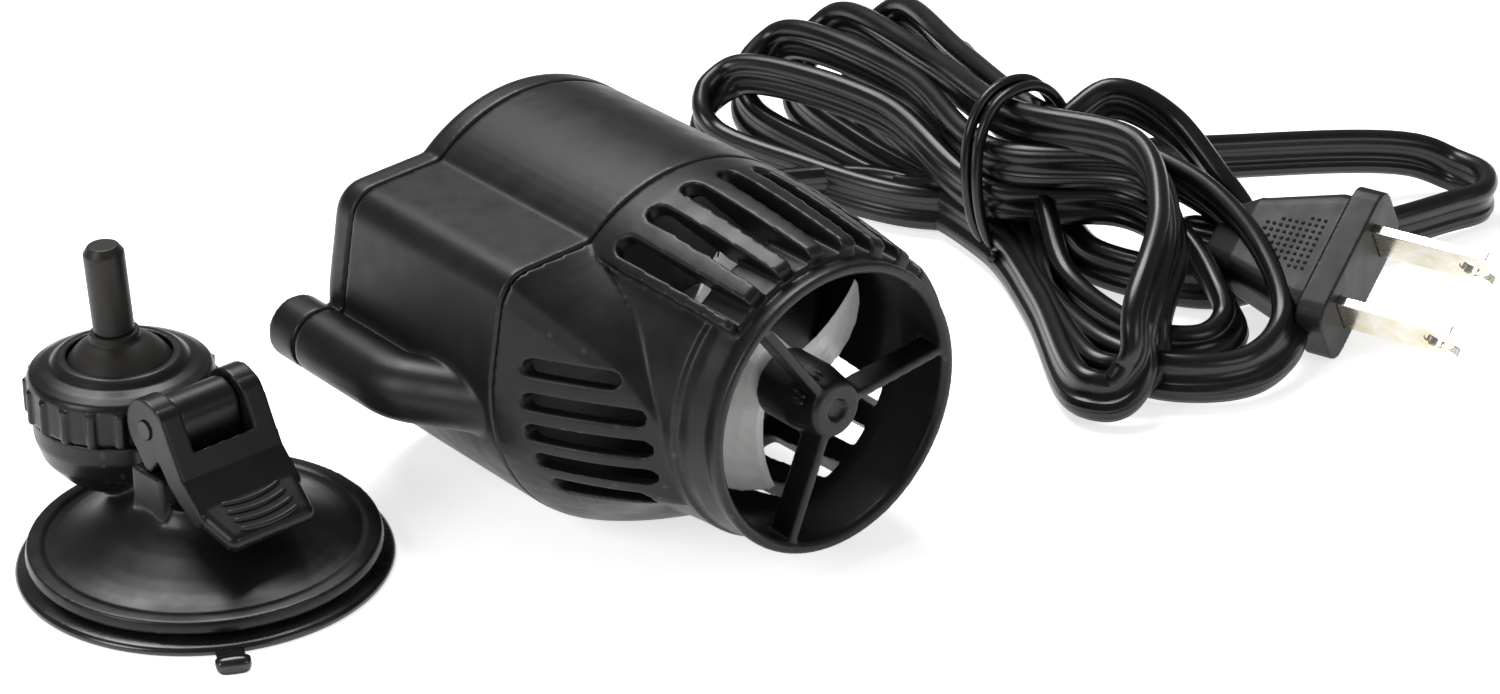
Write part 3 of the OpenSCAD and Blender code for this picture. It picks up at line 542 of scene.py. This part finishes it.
def make_cup():
    """The soft disc: a thin lip that turns up at its edge, moulded rings and a pull tab."""
    lip_r = (box_mm("suction_cup")[1].x - CUP.x)
    profile = [(0, 0.9), (12, 0.8), (19, 0.45), (22, 0.12), (lip_r - 0.9, 0.0), (lip_r - 0.15, 0.12),
               (lip_r, 0.45), (lip_r - 0.12, 0.85), (lip_r - 0.55, 1.15), (lip_r - 1.1, 1.2),
               (lip_r - 1.35, 1.42), (lip_r - 1.9, 1.5), (lip_r - 2.15, 1.75), (20, 2.1), (12, 2.3), (0, 2.3)]
    count = 160
    rings = lathe(profile[1:-1], count)
    points = [(CUP.x + x, CUP.y + y, FLOOR_Z + z) for ring in rings for x, y, z in ring]
    per = len(profile) - 2
    faces = []
    for j in range(count):
        a, b = j * per, (j + 1) % count * per
        faces += [(a + i, b + i, b + i + 1, a + i + 1) for i in range(per - 1)]
    for z, k in ((profile[0][1], 0), (profile[-1][1], per - 1)):
        points.append((CUP.x, CUP.y, FLOOR_Z + z))
        centre = len(points) - 1
        for j in range(count):
            a, b = j * per + k, (j + 1) % count * per + k
            faces.append((centre, b, a) if k == 0 else (centre, a, b))
    cup = add_mesh("soft_cup", points, faces, "rubber", "bracket")
    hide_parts("suction_cup")

    # The pull tab grows out of the lip and ends in a thicker, rounded finger hold
    tab_a = math.radians(TAB_ANGLE)
    out = Vector((math.cos(tab_a), math.sin(tab_a), 0))
    side = Vector((-out.y, out.x, 0))
    # Each cross-section's distance from the cup's centre, half width and height
    spans = [(lip_r - 3, 1.9, 0.9), (lip_r - 0.3, 1.9, 0.95), (lip_r + 1.2, 1.8, 0.95),
             (lip_r + 2.4, 2.1, 1.2), (lip_r + 3.2, 2.3, 1.9), (lip_r + 4.2, 2.25, 2.0),
             (lip_r + 4.8, 1.9, 1.6)]
    points = []
    ring_count = 16
    squareness = 0.6
    floor_gap = 0.02
    for reach, half_w, tall in spans:
        for i in range(ring_count):
            a = math.tau * i / ring_count
            u = math.copysign(abs(math.cos(a)) ** squareness, math.cos(a)) * half_w
            v = math.copysign(abs(math.sin(a)) ** squareness, math.sin(a)) * tall / 2
            p = CUP + out * reach + side * u
            points.append((p.x, p.y, FLOOR_Z + tall / 2 + v + floor_gap))
    add_mesh("cup_pull_tab", points, skin_faces(len(spans), ring_count), "rubber", "bracket")


# ---- Moulded details that ride on the CAD pieces ----

def tube(stops, radius, sides=10, steps=6):
    """Points and faces of a round bar with tapered ends through stops in millimetres."""
    rows = spline([[*stop, 0] for stop in stops], steps)
    points = []
    for i, row in enumerate(rows):
        here = Vector(row[:3])
        way = (Vector(rows[min(len(rows) - 1, i + 1)][:3]) - Vector(rows[max(0, i - 1)][:3])).normalized()
        side = way.orthogonal().normalized() if i == 0 else (side - way * side.dot(way)).normalized()
        up = way.cross(side)
        near_end = min(i, len(rows) - 1 - i)
        r = radius * min(1.0, 0.55 + 0.25 * near_end)
        points += [here + side * (r * math.cos(a)) + up * (r * math.sin(a))
                   for a in (math.tau * k / sides for k in range(sides))]
    return points, skin_faces(len(rows), sides)


def join_parts(parts):
    points, faces = [], []
    for some_points, some_faces in parts:
        start = len(points)
        points += some_points
        faces += [tuple(i + start for i in face) for face in some_faces]
    return points, faces


# The lever's plate runs between these places, seen from its pin
LEVER_HEEL = Vector((0, -9.6, -8.9))
LEVER_TIP = Vector((0, -14.3, -11.2))


def make_lever_ridges():
    """Four curved finger ridges across the end of the lever's plate."""
    joint = next(j for j in frame["record"]["behaviour"]["joints"] if j["name"] == "lever_flip")
    across = -Vector(joint["axis"])
    back = Vector((0, 0, 1)).cross(across)
    pin = Vector(joint["pos_m"]) / MM
    along = (LEVER_TIP - LEVER_HEEL).normalized()
    above = Vector((0, along.z, -along.y))
    half_t, half_w = 1.42, 4.6
    first, pitch, bow = 0.4, 1.45, 0.7
    ridge_r = 0.34
    ridges = []
    for k in range(4):
        stops = []
        for i in range(7):
            u = i / 3 - 1
            reach = first + pitch * k + bow * (1 - u * u)
            q = LEVER_HEEL + along * reach + above * half_t
            stops.append(pin + across * (u * half_w) + back * q.y + Vector((0, 0, q.z)))
        ridges.append(tube(stops, ridge_r))
    points, faces = join_parts(ridges)
    add_mesh("lever_ridges", points, faces, "bracket", "lever")


def make_hub_ribs():
    """Short stiffening ribs beside the upper arm, on the hub of the outlet's spider."""
    hub_r, rib_r = 4.15, 0.42
    ribs = []
    for turn in (96, 108, 148, 160):
        a = math.radians(turn)
        way = Vector((math.cos(a), 0, math.sin(a)))
        ribs.append(tube([way * hub_r + Vector((0, y, 0)) for y in (2.2, 4.4, 6.6, 8.8)], rib_r))
    points, faces = join_parts(ribs)
    add_mesh("hub_ribs", points, faces, "housing", "cage")


def make_plug_dots():
    """A trapezoid patch of grip dots on each broad side of the plug."""
    roll = math.radians(PLUG_ROLL)
    inwards = -PLUG_OUT
    level = inwards.cross(Vector((0, 0, 1)))
    wide = level * math.cos(roll) + Vector((0, 0, 1)) * math.sin(roll)
    face = wide.cross(inwards)
    pitch, dot_r, dot_h = 1.05, 0.36, 0.26
    first_row, rows = 6.2, 9
    dots = []
    for side in (1, -1):
        for j in range(rows):
            depth = first_row + j * pitch
            half_count = 4 if j < 3 else 3 if j < 7 else 2
            # The plug's body thins evenly towards the cord
            half_t = 5.5 - 0.8 * (depth - 5) / 11.5
            for i in range(-half_count, half_count + 1):
                at = PLUG_FACE + inwards * depth + wide * (i * pitch) + face * (side * half_t)
                ring = [at + inwards * (dot_r * math.cos(a)) + wide * (dot_r * math.sin(a))
                        for a in (math.tau * k / 8 for k in range(8))]
                top = [at + (p - at) * 0.55 + face * (side * dot_h) for p in ring]
                under = [p - face * (side * 0.3) for p in ring]
                dots.append((under + ring + top, skin_faces(3, 8)))
    points, faces = join_parts(dots)
    add_mesh("plug_grip_dots", points, faces, "plug", "pump")


make_cord()
make_tie()
make_cup()
make_lever_ridges()
make_hub_ribs()
make_plug_dots()


# ---- Floor, light and camera ----

def make_floor():
    mesh = bpy.data.meshes.new("floor")
    half = 3.0
    # Just below the object, so that no face lies in the same plane
    z = FLOOR_Z * MM - 0.00005
    corners = [(-half, -half, z), (half, -half, z), (half, half, z), (-half, half, z)]
    mesh.from_pydata(corners, [], [(0, 1, 2, 3)])
    floor = bpy.data.objects.new("floor", mesh)
    bpy.context.scene.collection.objects.link(floor)
    pale = Shader("pale_floor", (0.92, 0.92, 0.92), 0.85)
    pale.colour_from(pale.tint(pale.noise(40, 2), 0.3, 0.7, (0.90, 0.90, 0.90), (0.94, 0.94, 0.94)))
    pale.set(Emission_Color=(1, 1, 1, 1), Emission_Strength=0.7)
    mesh.materials.append(pale.material)


def softbox(name, at, aim, width, height, watts):
    lamp = bpy.data.lights.new(name, "AREA")
    lamp.shape = "RECTANGLE"
    lamp.size, lamp.size_y = width, height
    lamp.energy = watts
    obj = bpy.data.objects.new(name, lamp)
    bpy.context.scene.collection.objects.link(obj)
    obj.location = at
    obj.rotation_euler = (Vector(aim) - Vector(at)).to_track_quat("-Z", "Y").to_euler()


def make_light():
    world = bpy.data.worlds.new("studio")
    world.use_nodes = True
    world.node_tree.nodes["Background"].inputs["Color"].default_value = (1, 1, 1, 1)
    world.node_tree.nodes["Background"].inputs["Strength"].default_value = 0.19
    bpy.context.scene.world = world
    centre = (0.02, 0.05, 0.0)
    softbox("overhead", (0.10, 0.42, 0.72), centre, 0.5, 0.4, 7.0)
    softbox("left_side", (-0.75, 0.05, 0.42), centre, 0.3, 0.4, 3.0)
    softbox("front_fill", (0.25, -0.9, 0.45), centre, 0.5, 0.3, 1.4)


CAMERA_AZIMUTH = -39.43
CAMERA_ELEVATION = 26.69
CAMERA_AIM = Vector((-14.37, 0, 13.58)) * MM
CAMERA_DISTANCE = 492.07 * MM


def make_camera():
    lens = bpy.data.cameras.new("camera")
    lens.lens = 96
    lens.clip_start = 0.01
    camera = bpy.data.objects.new("camera", lens)
    bpy.context.scene.collection.objects.link(camera)
    a, e = math.radians(CAMERA_AZIMUTH), math.radians(CAMERA_ELEVATION)
    back = Vector((math.sin(a) * math.cos(e), -math.cos(a) * math.cos(e), math.sin(e)))
    camera.location = CAMERA_AIM + back * CAMERA_DISTANCE
    camera.rotation_euler = (-back).to_track_quat("-Z", "Y").to_euler()
    bpy.context.scene.camera = camera
    bpy.context.scene.view_settings.view_transform = "Standard"


make_floor()
make_light()
make_camera()
